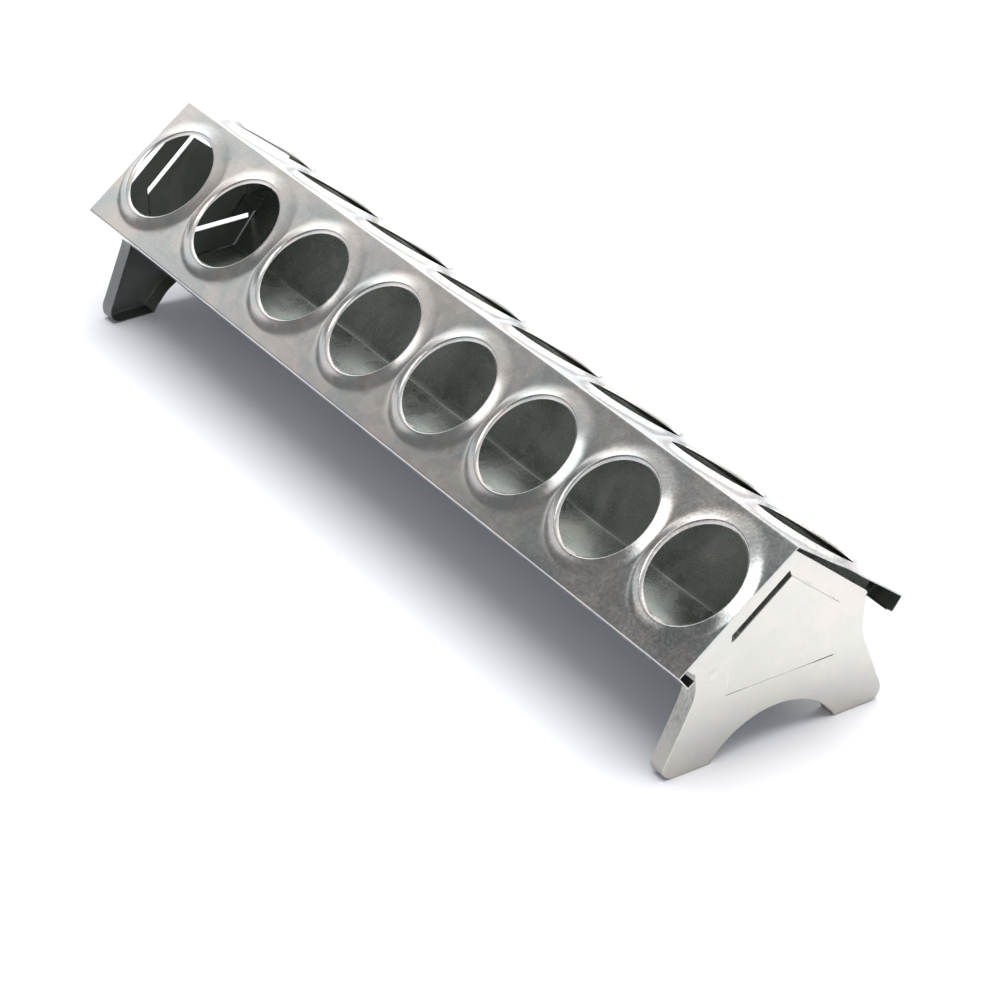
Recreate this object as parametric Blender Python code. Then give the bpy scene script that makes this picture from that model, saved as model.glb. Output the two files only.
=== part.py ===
"""Galvanised chick feeder: a V trough on two pressed end plates, under a gable cover with feeding holes.

Metres, +Z up. X runs along the feeder, the origin is the middle of the ground under it.
Cross-sections are worked out from the ridge line, so their z is negative, and every object stands at
RIDGE_HEIGHT.
"""

import math

import bmesh
import bpy
from mathutils import Vector

# Sheet and clearances
SHEET = 0.0006
GAP = 0.0003
FOLD_ROUND = 0.0010
FOLD_SEGMENTS = 2
SMOOTH_ANGLE = math.radians(35)
MERGE_DISTANCE = 1e-6
MIRROR_MERGE_DISTANCE = 1e-5
UP = Vector((0.0, 0.0, 1.0))
ALONG = Vector((1.0, 0.0, 0.0))

# Feeding holes, one row on each slope
HOLE_RADIUS = 0.0246
RIM_WALL_RUN = 0.0017
RIM_CREST_RUN = 0.0009
RIM_CONE_RUN = 0.0058
RIM_SHOULDER_HEIGHT = 0.00175
RIM_CREST_HEIGHT = 0.0023
RIM_CREST_RADIUS = HOLE_RADIUS + RIM_WALL_RUN
RIM_SHOULDER_RADIUS = RIM_CREST_RADIUS + RIM_CREST_RUN
RIM_BASE_RADIUS = RIM_SHOULDER_RADIUS + RIM_CONE_RUN
CHORD_STEPS = 2
ARC_STEPS = 4

# Cover, with just so many holes along it that the feet of neighbouring rims meet
COVER_LENGTH = 0.500
SLOPE_PITCH = math.radians(37.04)
RIDGE_MARGIN = 0.0029
EAVE_MARGIN = 0.0063
LIP_DEPTH = 0.0088
RETURN_WIDTH = 0.0045
HOLES_PER_SLOPE = math.ceil(COVER_LENGTH / (2 * RIM_BASE_RADIUS))
HOLE_PITCH = COVER_LENGTH / HOLES_PER_SLOPE
HOLE_FROM_RIDGE = RIDGE_MARGIN + RIM_BASE_RADIUS
SLOPE_WIDTH = HOLE_FROM_RIDGE + RIM_BASE_RADIUS + EAVE_MARGIN

# Trough, whose rails lie under the cover's eaves
RIDGE_HEIGHT = 0.1034
TROUGH_FLOOR_HEIGHT = 0.0204
TROUGH_FLOOR_HALF_WIDTH = 0.0194
RAIL_WIDTH = 0.0062
RAIL_SIDE_GAP = 0.0004
NOTCH_DROP = 0.0140
NOTCH_CLEARANCE = 0.0009
TAB_DROP = 0.0010
TAB_HEIGHT = 0.0100
TAB_LENGTH = 0.0140
RAIL_FROM_RIDGE = SLOPE_WIDTH - RAIL_WIDTH

# End plates, whose feet lean in under the feeder
PLATE_INSET = 0.0025
PLATE_LEAN = 0.059
PEAK_DEPTH = 0.0046
GABLE_FALL = math.tan(SLOPE_PITCH + math.radians(3.16))
SHOULDER_INSET = 0.0088
SHOULDER_RADIUS = 0.0100
SIDE_HEIGHT = 0.01875
WAIST_RADIUS = 0.0250
TOE_SPREAD = 0.0166
TOE_RADIUS = 0.0060
FOOT_WIDTH = 0.0283
ARCH_CLEARANCE = 0.0009
ARCH_TOP_DEPTH = RIDGE_HEIGHT - TROUGH_FLOOR_HEIGHT + SHEET + ARCH_CLEARANCE
RIM_DEPTH = 0.0090
RIM_START_WIDTH = 0.0060
RIM_LEAD = 0.0080
RIM_GROWTH = 0.0034
PLATE_ROUND = 0.0012
SHOULDER_STEPS = 6
WAIST_STEPS = 4
TOE_STEPS = 7
ARCH_STEPS = 12

# The house-shaped panel in each end plate, cut free along its gables and its lower edge and held at its two
# sides. Its band is the height of plate left above it.
PANEL_SIDE_MARGIN = 0.0167
PANEL_FOOT_MARGIN = 0.0165
PANEL_BOTTOM_DEPTH = ARCH_TOP_DEPTH - PANEL_FOOT_MARGIN
NEAR_PANEL = {"rise": 0.0028, "wall_run": 0.0026, "band": 0.0086, "gable_slot": 0.0003, "bottom_slot": 0.0003}
FAR_PANEL = {"rise": 0.0004, "wall_run": 0.0012, "band": 0.0100, "gable_slot": 0.0041, "bottom_slot": 0.0024}

ZINC = {
    "cover": ((0.66, 0.65, 0.63), 0.34),
    "trough": ((0.52, 0.54, 0.52), 0.30),
    "end_plate_near": ((0.74, 0.74, 0.72), 0.36),
    "end_plate_far": ((0.60, 0.62, 0.60), 0.36),
}


def clear_scene():
    for obj in list(bpy.data.objects):
        bpy.data.objects.remove(obj, do_unlink=True)


def zinc_material(name):
    color, roughness = ZINC[name]
    material = bpy.data.materials.new(name)
    material.use_nodes = True
    shader = material.node_tree.nodes["Principled BSDF"]
    shader.inputs["Base Color"].default_value = (*color, 1.0)
    shader.inputs["Metallic"].default_value = 0.9
    shader.inputs["Roughness"].default_value = roughness
    return material


def slope_point(x, along, height, side):
    """A point on a slope of the cover: along runs down from the ridge, height stands off the outer face."""
    y = along * math.cos(SLOPE_PITCH) + height * math.sin(SLOPE_PITCH)
    z = -along * math.sin(SLOPE_PITCH) + height * math.cos(SLOPE_PITCH)
    return (x, side * y, z)


def new_sheet():
    """An empty surface that can carry marked folds."""
    bm = bmesh.new()
    bm.edges.layers.float.new("bevel_weight_edge")
    return bm


def mark_folds(bm, edges):
    """Marks the edges that the Bevel modifier turns into round folds."""
    layer = bm.edges.layers.float["bevel_weight_edge"]
    for edge in edges:
        edge[layer] = 1.0


def extrude_edges(bm, edges, move):
    """Extrudes a row of edges; move tells each new vertex where it goes. Gives back the new outer row."""
    result = bmesh.ops.extrude_edge_only(bm, edges=edges)["geom"]
    for vert in [item for item in result if isinstance(item, bmesh.types.BMVert)]:
        vert.co = move(vert.co)
    return [item for item in result if isinstance(item, bmesh.types.BMEdge)
            and all(vert in result for vert in item.verts)]


def sheet_object(name, bm, looks, fold_round):
    """Turns half an open surface into a sheet part: mirrored, folds rounded, then made as thick as the sheet.

    The sheet grows from the side that looks in the given direction.
    """
    bmesh.ops.remove_doubles(bm, verts=bm.verts, dist=MERGE_DISTANCE)
    bmesh.ops.recalc_face_normals(bm, faces=bm.faces)
    widest = max(bm.faces, key=lambda face: face.calc_area())
    if widest.normal.dot(looks) < 0:
        bmesh.ops.reverse_faces(bm, faces=bm.faces)
    mesh = bpy.data.meshes.new(name)
    bm.to_mesh(mesh)
    bm.free()
    obj = bpy.data.objects.new(name, mesh)
    bpy.context.scene.collection.objects.link(obj)
    mesh.materials.append(zinc_material(name))
    half = obj.modifiers.new("other half", "MIRROR")
    half.use_axis = (False, True, False)
    half.merge_threshold = MIRROR_MERGE_DISTANCE
    fold = obj.modifiers.new("folds", "BEVEL")
    fold.limit_method = "WEIGHT"
    fold.width = fold_round
    fold.segments = FOLD_SEGMENTS
    skin = obj.modifiers.new("sheet", "SOLIDIFY")
    skin.thickness = SHEET
    skin.offset = -1.0
    skin.use_even_offset = True
    mesh.shade_smooth()
    mesh.set_sharp_from_angle(angle=SMOOTH_ANGLE)
    obj.location = (0.0, 0.0, RIDGE_HEIGHT)
    return obj


# Cover

def ring_angles():
    """Angles around a hole: the first steps fill the chord where two rims meet, the rest are even."""
    chord = math.acos(HOLE_PITCH / 2 / RIM_BASE_RADIUS)
    quarter = [chord * i / CHORD_STEPS for i in range(CHORD_STEPS)]
    quarter += [chord + (math.pi / 2 - chord) * i / ARC_STEPS for i in range(ARC_STEPS)]
    half = quarter + [math.pi - angle for angle in [math.pi / 2] + quarter[:0:-1]]
    return half + [math.pi + angle for angle in half]


def rim_base(angle):
    """Radius and height of the rim's foot: cut straight where it meets the next rim, still on the cone."""
    radius = RIM_BASE_RADIUS
    if radius * abs(math.cos(angle)) > HOLE_PITCH / 2:
        radius = HOLE_PITCH / 2 / abs(math.cos(angle))
    cone = (RIM_BASE_RADIUS - radius) / (RIM_BASE_RADIUS - RIM_SHOULDER_RADIUS)
    return radius, RIM_SHOULDER_HEIGHT * cone


def pressed_hole(bm, center_x):
    """One tile of the slope: a hole with its raised rim, and the flat sheet above and below it."""
    angles = ring_angles()
    steps = [
        (RIM_SHOULDER_RADIUS, RIM_SHOULDER_HEIGHT),
        (RIM_CREST_RADIUS, RIM_CREST_HEIGHT),
        (HOLE_RADIUS, 0.0),
    ]

    def vertex(angle, radius, height):
        x = center_x + radius * math.cos(angle)
        along = HOLE_FROM_RIDGE - radius * math.sin(angle)
        return bm.verts.new(slope_point(x, along, height, -1))

    rings = [[vertex(angle, *rim_base(angle)) for angle in angles]]
    for radius, height in steps:
        rings.append([vertex(angle, radius, height) for angle in angles])
    count = len(angles)
    for outer, inner in zip(rings, rings[1:]):
        for i in range(count):
            j = (i + 1) % count
            bm.faces.new((outer[i], outer[j], inner[j], inner[i]))

    half_tile = HOLE_PITCH / 2
    half = count // 2
    above = rings[0][CHORD_STEPS:half - CHORD_STEPS + 1]
    below = rings[0][half + CHORD_STEPS:count - CHORD_STEPS + 1]
    for arc, along, first in ((above, 0.0, -half_tile), (below, SLOPE_WIDTH, half_tile)):
        corners = [bm.verts.new(slope_point(center_x + x, along, 0.0, -1)) for x in (first, -first)]
        bm.faces.new(arc + corners)


def edges_on_line(bm, point):
    """Edges whose two ends lie on the line along X through point."""
    def on_line(vert):
        return math.hypot(vert.co.y - point[1], vert.co.z - point[2]) < MERGE_DISTANCE

    return [edge for edge in bm.edges if all(on_line(vert) for vert in edge.verts)]


def build_cover():
    bm = new_sheet()
    for index in range(HOLES_PER_SLOPE):
        pressed_hole(bm, (index - (HOLES_PER_SLOPE - 1) / 2) * HOLE_PITCH)
    bmesh.ops.remove_doubles(bm, verts=bm.verts, dist=MERGE_DISTANCE)

    eave = edges_on_line(bm, slope_point(0.0, SLOPE_WIDTH, 0.0, -1))
    lip_end = slope_point(0.0, SLOPE_WIDTH, -LIP_DEPTH, -1)
    lip = extrude_edges(bm, eave, lambda co: (co.x, lip_end[1], lip_end[2]))
    return_end = slope_point(0.0, SLOPE_WIDTH - RETURN_WIDTH, -LIP_DEPTH, -1)
    extrude_edges(bm, lip, lambda co: (co.x, return_end[1], return_end[2]))

    ridge = edges_on_line(bm, (0.0, 0.0, 0.0))
    mark_folds(bm, ridge + eave + lip)
    return sheet_object("cover", bm, UP, FOLD_ROUND)


# Trough

def plate_outer_x(z):
    """Outer face of the near end plate at a depth z under the ridge."""
    return COVER_LENGTH / 2 - PLATE_INSET + PLATE_LEAN * z


def trough_end_x(z):
    """End of the trough's sheet, leaving room for a tab between it and the end plate."""
    return plate_outer_x(z) - SHEET - GAP - SHEET


def notch_end_x(z):
    """End of the rail and the wall's top, cut back to leave room for the end plate's rim."""
    return plate_outer_x(z) - RIM_DEPTH - NOTCH_CLEARANCE


def rail_start():
    """Where the wall turns into the rail, as (y, z)."""
    return slope_point(0.0, RAIL_FROM_RIDGE, -SHEET - GAP, 1)[1:]


def wall_point(z):
    """A point of the wall's inner face at depth z, on the line from the floor's edge to the rail."""
    rail_y, rail_z = rail_start()
    floor_z = TROUGH_FLOOR_HEIGHT - RIDGE_HEIGHT
    share = (z - floor_z) / (rail_z - floor_z)
    return (TROUGH_FLOOR_HALF_WIDTH + share * (rail_y - TROUGH_FLOOR_HALF_WIDTH), z)


def trough_section():
    """Half of the trough's cross-section, from the floor's middle to the turned-down edge of its rail."""
    rail_top = -SHEET - GAP
    edge_along = SLOPE_WIDTH - SHEET - RAIL_SIDE_GAP
    edge_bottom = -LIP_DEPTH + SHEET + GAP
    floor_z = TROUGH_FLOOR_HEIGHT - RIDGE_HEIGHT
    notch_z = rail_start()[1] - NOTCH_DROP
    tab_z = notch_z - TAB_DROP
    return {
        "floor middle": (0.0, floor_z),
        "floor edge": (TROUGH_FLOOR_HALF_WIDTH, floor_z),
        "tab bottom": wall_point(tab_z - TAB_HEIGHT),
        "tab top": wall_point(tab_z),
        "notch": wall_point(notch_z),
        "rail start": rail_start(),
        "rail edge": slope_point(0.0, edge_along, rail_top, 1)[1:],
        "rail lip": slope_point(0.0, edge_along, edge_bottom, 1)[1:],
    }


def build_trough():
    bm = new_sheet()
    section = trough_section()
    names = list(section)
    notch = names.index("notch")

    def row(end, end_x, chosen):
        return {name: bm.verts.new((end * end_x(section[name][1]), *section[name])) for name in chosen}

    def join(far, near, chosen):
        for name, after in zip(chosen, chosen[1:]):
            bm.faces.new((far[name], far[after], near[after], near[name]))

    far, near = [row(end, trough_end_x, names[:notch + 1]) for end in (-1, 1)]
    far_cut, near_cut = [row(end, notch_end_x, names[notch:]) for end in (-1, 1)]
    join(far, near, names[:notch])
    join(far_cut, near_cut, names[notch:])
    bm.faces.new((far["tab top"], far["notch"], far_cut["notch"], near_cut["notch"], near["notch"], near["tab top"]))
    mark_folds(bm, [bm.edges.get((far["floor edge"], near["floor edge"]))])
    mark_folds(bm, [bm.edges.get((far_cut[name], near_cut[name])) for name in ("rail start", "rail edge")])
    for end in (far, near):
        tab_root = bm.edges.get((end["tab bottom"], end["tab top"]))
        extrude_edges(bm, [tab_root], lambda co: (co.x, co.y - TAB_LENGTH, co.z))
    return sheet_object("trough", bm, UP, FOLD_ROUND)


# End plates

def fillet(before, corner, after, radius, steps):
    """Points of a round corner of the given radius between two straight runs."""
    def unit(a, b):
        length = math.dist(a, b)
        return ((b[0] - a[0]) / length, (b[1] - a[1]) / length)

    back, ahead = unit(corner, before), unit(corner, after)
    half_angle = math.acos(back[0] * ahead[0] + back[1] * ahead[1]) / 2
    middle = (back[0] + ahead[0], back[1] + ahead[1])
    reach = radius / math.sin(half_angle) / math.hypot(*middle)
    center = (corner[0] + middle[0] * reach, corner[1] + middle[1] * reach)
    tangent = radius / math.tan(half_angle)
    first = math.atan2(corner[1] + back[1] * tangent - center[1], corner[0] + back[0] * tangent - center[0])
    last = math.atan2(corner[1] + ahead[1] * tangent - center[1], corner[0] + ahead[0] * tangent - center[0])
    turn = (last - first + math.pi) % (2 * math.pi) - math.pi
    angles = [first + turn * i / steps for i in range(steps + 1)]
    return [(center[0] + radius * math.cos(a), center[1] + radius * math.sin(a)) for a in angles]


def shoulder_half_width():
    return rail_start()[0] - SHOULDER_INSET


def toe_half_width():
    return shoulder_half_width() + TOE_SPREAD


def arch_points(steps):
    """The round opening between the feet, from its foot to its top, as an arc through both."""
    rise = RIDGE_HEIGHT - ARCH_TOP_DEPTH
    half_width = toe_half_width() - FOOT_WIDTH
    radius = (half_width ** 2 + rise ** 2) / (2 * rise)
    center_z = -ARCH_TOP_DEPTH - radius
    foot_angle = math.asin(half_width / radius)
    angles = [foot_angle * (1 - i / steps) for i in range(steps + 1)]
    return [(radius * math.sin(a), center_z + radius * math.cos(a)) for a in angles]


def plate_outline():
    """Half of the plate's outline in two runs: the plain gable side, then the leg and arch with their rim."""
    half_width = shoulder_half_width()
    peak = (0.0, -PEAK_DEPTH)
    shoulder = (half_width, -PEAK_DEPTH - GABLE_FALL * half_width)
    waist = (half_width, shoulder[1] - SIDE_HEIGHT)
    toe = (toe_half_width(), -RIDGE_HEIGHT)
    foot = (toe[0] - FOOT_WIDTH, -RIDGE_HEIGHT)
    plain = [peak] + fillet(peak, shoulder, waist, SHOULDER_RADIUS, SHOULDER_STEPS)
    leg = fillet(shoulder, waist, toe, WAIST_RADIUS, WAIST_STEPS)
    rimmed = [(half_width, leg[0][1] + RIM_LEAD)] + leg
    rimmed += fillet(waist, toe, foot, TOE_RADIUS, TOE_STEPS)
    rimmed += arch_points(ARCH_STEPS)
    return plain, rimmed


def rim_width(below_start):
    """The rim starts narrow below the shoulder and soon reaches its full width."""
    share = min(below_start / RIM_GROWTH, 1.0)
    return RIM_START_WIDTH + (RIM_DEPTH - RIM_START_WIDTH) * share


def build_end_plate(name, panel, turn):
    """Built for the near end, with its outer face to +X, then turned half round for the far end."""
    bm = new_sheet()

    def vertex(y, z, rise=0.0):
        return bm.verts.new((plate_outer_x(z) + rise, y, z))

    plain, rimmed = plate_outline()
    outline = [vertex(y, z) for y, z in plain + rimmed]
    slot_low = -PANEL_BOTTOM_DEPTH - panel["bottom_slot"]
    slot_high = -PEAK_DEPTH - panel["band"]
    panel_high = slot_high - panel["gable_slot"]
    half_width = shoulder_half_width() - PANEL_SIDE_MARGIN
    slot_bottom = vertex(0.0, slot_low)
    slot_bottom_end = vertex(half_width, slot_low)
    side_bottom = vertex(half_width, -PANEL_BOTTOM_DEPTH)
    side_top = vertex(half_width, panel_high - GABLE_FALL * half_width)
    slot_top_end = vertex(half_width, slot_high - GABLE_FALL * half_width)
    slot_top = vertex(0.0, slot_high)
    bm.faces.new(outline + [slot_bottom, slot_bottom_end, side_bottom, side_top, slot_top_end, slot_top])

    rise = panel["rise"]
    raised_half_width = half_width - panel["wall_run"]
    raised_top = vertex(raised_half_width, panel_high - GABLE_FALL * raised_half_width, rise)
    raised_bottom = vertex(raised_half_width, -PANEL_BOTTOM_DEPTH, rise)
    peak = vertex(0.0, panel_high, rise)
    foot = vertex(0.0, -PANEL_BOTTOM_DEPTH, rise)
    bm.faces.new((side_bottom, raised_bottom, raised_top, side_top))
    bm.faces.new((raised_bottom, foot, peak, raised_top))

    rim_start = len(plain)
    rim_top = rimmed[0][1]
    rim_edges = [bm.edges.get(pair) for pair in zip(outline[rim_start:], outline[rim_start + 1:])]
    extrude_edges(bm, rim_edges, lambda co: (co.x - rim_width(rim_top - co.z), co.y, co.z))
    mark_folds(bm, rim_edges)
    plate = sheet_object(name, bm, ALONG, PLATE_ROUND)
    plate.rotation_euler = (0.0, 0.0, turn)
    return plate


clear_scene()
build_cover()
build_trough()
build_end_plate("end_plate_near", NEAR_PANEL, 0.0)
build_end_plate("end_plate_far", FAR_PANEL, math.pi)
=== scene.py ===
"""Looks of the galvanised chick feeder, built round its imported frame.

Metres, +Z up, X along the feeder. Cross-sections are worked out from the ridge line, so their z is negative,
and every finished piece is raised by RIDGE_HEIGHT.
"""

import math

import bpy
import numpy as np
from mathutils import Matrix, Vector


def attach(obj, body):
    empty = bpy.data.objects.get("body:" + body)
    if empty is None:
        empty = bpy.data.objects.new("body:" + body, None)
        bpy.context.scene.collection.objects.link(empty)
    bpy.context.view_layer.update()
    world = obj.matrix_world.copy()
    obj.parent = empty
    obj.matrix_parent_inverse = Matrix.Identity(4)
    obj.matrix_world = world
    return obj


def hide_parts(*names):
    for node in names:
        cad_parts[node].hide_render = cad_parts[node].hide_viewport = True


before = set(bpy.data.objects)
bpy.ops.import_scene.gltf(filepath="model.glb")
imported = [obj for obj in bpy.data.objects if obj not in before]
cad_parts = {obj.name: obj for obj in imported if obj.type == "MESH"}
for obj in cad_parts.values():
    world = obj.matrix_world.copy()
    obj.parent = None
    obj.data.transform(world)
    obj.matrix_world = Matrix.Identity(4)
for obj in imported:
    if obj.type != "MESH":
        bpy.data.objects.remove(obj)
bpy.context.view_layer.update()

# Cover, trough and the places of the end plates, with the CAD model's sizes
SHEET = 0.0006
GAP = 0.0003
RIDGE_HEIGHT = 0.1034
COVER_LENGTH = 0.500
SLOPE_WIDTH = 0.0752
SLOPE_PITCH = math.radians(37.04)
LIP_DEPTH = 0.0088
RETURN_WIDTH = 0.0045
HOLES_PER_SLOPE = 8
HOLE_PITCH = COVER_LENGTH / HOLES_PER_SLOPE
HOLE_FROM_RIDGE = 0.0359
HOLE_RADIUS = 0.0246
CREST_RADIUS = 0.0263
RIM_BASE_RADIUS = 0.0330
TROUGH_FLOOR_HEIGHT = 0.0204
TROUGH_FLOOR_Z = TROUGH_FLOOR_HEIGHT - RIDGE_HEIGHT
TROUGH_FLOOR_HALF_WIDTH = 0.0194
RAIL_FROM_RIDGE = 0.0690
RAIL_SIDE_GAP = 0.0004
NOTCH_DEPTH = 0.0563
NOTCH_CLEARANCE = 0.0009
TAB_TOP_DEPTH = 0.0573
TAB_BOTTOM_DEPTH = 0.0673
TAB_LENGTH = 0.0140
PLATE_INSET = 0.0025
PLATE_LEAN = 0.059

# Outline of the end plates as the photo shows it. An ear is the longer shoulder of the near plate.
APEX_DEPTH = 0.0036
APEX_RADIUS = 0.0030
GABLE_FALL = 0.838
SHOULDER_HALF_WIDTH = 0.0447
SHOULDER_RADIUS = 0.0040
EAR_FALL = 0.686
EAR_BEND = 0.0100
EAR_BEND_RADIUS = 0.0200
EAR_TIP = (0.0522, -0.0457)
EAR_TIP_RADIUS = 0.0012
EAR_NECK = (0.0464, -0.0513)
EAR_NECK_RADIUS = 0.0030
WAIST_DEPTH = 0.0620
WAIST_RADIUS = 0.0250
TOE_HALF_WIDTH = 0.0623
TOE_RADIUS = 0.0060
FOOT_INNER_HALF_WIDTH = 0.0340
ARCH_TOP_DEPTH = 0.0845

# Rim of the end plates: its depth, where it starts under the ridge, its run to full depth, and its fold's
# reach with the largest share of the depth that the fold takes
RIM_DEPTH = 0.0090
RIM_TOP_DEPTH = 0.0413
EAR_RIM_TOP_DEPTH = 0.0505
RIM_RAMP = 0.0010
RIM_FOLD = 0.0008
RIM_FOLD_SHARE = 0.45

# Panels of the end plates. Each has its peak's depth under the ridge, its rise off the plate with the
# shares of it that the lower edge and the right half keep, the run of its pressed side walls, and the
# heights of the open slots over its left and right gables and under it. Sway is how far the plate's top
# stands off along Y.
PANEL_FALL = 0.845
PANEL_HALF_WIDTH = 0.0290
PANEL_BOTTOM_DEPTH = 0.0680
NEAR_PANEL = {
    "peak": 0.0163, "rise": 0.0005, "low_share": 0.2, "right_share": 0.5, "wall": 0.0020,
    "left_slot": 0.0040, "right_slot": 0.00015, "bottom_slot": 0.0006, "sway": -0.0006, "ear": True,
}
FAR_PANEL = {
    "peak": 0.0187, "rise": 0.0004, "low_share": 1.0, "right_share": 1.0, "wall": 0.0012,
    "left_slot": 0.0041, "right_slot": 0.0041, "bottom_slot": 0.0024, "sway": 0.0, "ear": False,
}


# Surfaces: grids of points joined into meshes

WELDS_PER_METRE = 1e6
CRISP_ANGLE = math.radians(50)
OTHER_SLOPE = np.array([-1.0, 1.0])


def grid_block(points, closed=False):
    """Vertices and quads of a grid of points, rows by columns by xyz.

    A quad joins the points (i, j), (i, j + 1), (i + 1, j + 1) and (i + 1, j). A closed grid joins its last
    column to its first.
    """
    rows, columns = points.shape[:2]
    index = np.arange(rows * columns).reshape(rows, columns)
    if closed:
        index = np.concatenate([index, index[:, :1]], axis=1)
    quads = np.stack([index[:-1, :-1], index[:-1, 1:], index[1:, 1:], index[1:, :-1]], axis=-1)
    return points.reshape(-1, 3), quads.reshape(-1, 4)


def facing(block, direction):
    """The block with its faces turned so that they look, taken together, in the given direction.

    The direction is one vector or one for each quad. A quad looks along the cross product of its diagonals,
    and where these products, times the direction, add up to less than 0, every quad is reversed.
    """
    points, quads = block
    first_diagonal = points[quads[:, 2]] - points[quads[:, 0]]
    second_diagonal = points[quads[:, 3]] - points[quads[:, 1]]
    if (np.cross(first_diagonal, second_diagonal) * direction).sum() < 0.0:
        quads = quads[:, ::-1]
    return points, quads


def mirrored(block):
    """The block's twin on the other side of the plane y = 0."""
    points, quads = block
    return points * np.array([1.0, -1.0, 1.0]), quads[:, ::-1]


def sheet_piece(name, blocks, even=True, turn=0.0):
    """One sheet-metal piece from the blocks of its outer skin, turned about Z and raised to its height.

    Points that agree to a micrometre are welded, and a corner that a quad then has twice is dropped. The
    sheet is smooth but for its cut edges, and it is thickened inwards.
    """
    offset = 0
    points, quads = [], []
    for block_points, block_quads in blocks:
        points.append(block_points)
        quads.append(block_quads + offset)
        offset += len(block_points)
    points, quads = np.concatenate(points), np.concatenate(quads)
    places = np.round(points * WELDS_PER_METRE).astype(np.int64)
    _, first, inverse = np.unique(places, axis=0, return_index=True, return_inverse=True)
    points, quads = points[first], inverse.reshape(-1)[quads]
    cosine, sine = math.cos(turn), math.sin(turn)
    points = points @ np.array([[cosine, sine, 0.0], [-sine, cosine, 0.0], [0.0, 0.0, 1.0]])
    points[:, 2] += RIDGE_HEIGHT
    faces = [list(dict.fromkeys(quad)) for quad in quads.tolist()]
    mesh = bpy.data.meshes.new(name)
    mesh.from_pydata(points.tolist(), [], [face for face in faces if len(face) > 2])
    mesh.shade_smooth()
    piece = bpy.data.objects.new(name, mesh)
    bpy.context.scene.collection.objects.link(piece)
    skin = piece.modifiers.new("sheet", "SOLIDIFY")
    skin.thickness = SHEET
    skin.offset = -1.0
    skin.use_even_offset = even
    skin.material_offset = 1
    crisp = piece.modifiers.new("cut edges", "EDGE_SPLIT")
    crisp.split_angle = CRISP_ANGLE
    return piece


def fold_arc(before, corner, after, reach, steps):
    """A round fold in a cross-section: the arc that touches both legs at the given reach from the corner.

    With a and b the vectors from the circle's middle to its two touching points and w the angle between
    them, the arc's points are middle + (sin((1 - t) w) a + sin(t w) b) / sin w, for t from 0 to 1.
    """
    corner = np.asarray(corner, dtype=float)
    back = np.asarray(before, dtype=float) - corner
    ahead = np.asarray(after, dtype=float) - corner
    back /= np.linalg.norm(back)
    ahead /= np.linalg.norm(ahead)
    half = math.acos(float(back @ ahead)) / 2
    middle = corner + (back + ahead) / np.linalg.norm(back + ahead) * reach / math.cos(half)
    a, b = corner + back * reach - middle, corner + ahead * reach - middle
    w = math.pi - 2 * half
    t = np.linspace(0.0, 1.0, steps + 1)[:, None]
    return middle + (np.sin((1 - t) * w) * a + np.sin(t * w) * b) / math.sin(w)


def subdivided(points, longest):
    """The same polyline with every leg cut into equal steps no longer than the given length."""
    result = [points[0]]
    for start, end in zip(points, points[1:]):
        steps = max(1, math.ceil(np.linalg.norm(end - start) / longest))
        result += [start + (end - start) * (i + 1) / steps for i in range(steps)]
    return np.array(result)


def spread(points, count):
    """The given number of points, evenly spaced along a polyline."""
    steps = np.concatenate([[0.0], np.cumsum(np.linalg.norm(np.diff(points, axis=0), axis=-1))])
    places = np.linspace(0.0, steps[-1], count)
    return np.stack([np.interp(places, steps, points[:, k]) for k in (0, 1)], axis=-1)


def along_x(profile, xs):
    """A grid that carries a cross-section, rows of (y, z), along the given x places."""
    grid = np.empty((len(profile), len(xs), 3))
    grid[..., 0] = xs
    grid[..., 1] = profile[:, 0, None]
    grid[..., 2] = profile[:, 1, None]
    return grid


def smooth(t):
    """The smooth step 3 t^2 - 2 t^3, with t held between 0 and 1."""
    t = np.clip(t, 0.0, 1.0)
    return t * t * (3 - 2 * t)


def slope_points(x, s, h):
    """Points of the near slope (the -Y side): s runs down from the ridge, h stands off the outer face.

    With c and n the cosine and sine of the slope's pitch, y = -(s c + h n) and z = -s n + h c.
    """
    cosine, sine = math.cos(SLOPE_PITCH), math.sin(SLOPE_PITCH)
    return np.stack([x, -(s * cosine + h * sine), -s * sine + h * cosine], axis=-1)


def near_section(s, h):
    """A cross-section point (y, z) on the near slope."""
    return slope_points(0.0, s, h)[1:]


def far_section(s, h):
    """A cross-section point (y, z) on the far slope (the +Y side)."""
    return near_section(s, h) * OTHER_SLOPE


def plate_outer_x(z):
    """Outer face of the near end plate at a depth z under the ridge."""
    return COVER_LENGTH / 2 - PLATE_INSET + PLATE_LEAN * z


# Cover: two slopes with pressed holes, a ridge fold and folded eaves

FOLD_REACH = 0.0010
COVER_FOLD_STEPS = 6
SLOPE_BULGE = 0.0004
LONG_WAVE = 0.00005
SLANTED_WAVE = 0.00004
HOLE_EDGE_HEIGHT = 0.0010
WALL_SLOPE = 1.35
WALL_REACH = 0.0023
FLARE_HEIGHT = 0.00242
FLARE_POWER = 1.4
CREST_ROUND = 0.00008
CREST_REACH = 0.00035
CONE_END_RADIUS = 0.0290
WALL_RINGS = 3
CREST_RINGS = 9
CONE_RINGS = 4
OUTER_RINGS = 7
BORDER_X_STEPS = 24
BORDER_S_STEPS = 28


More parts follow.
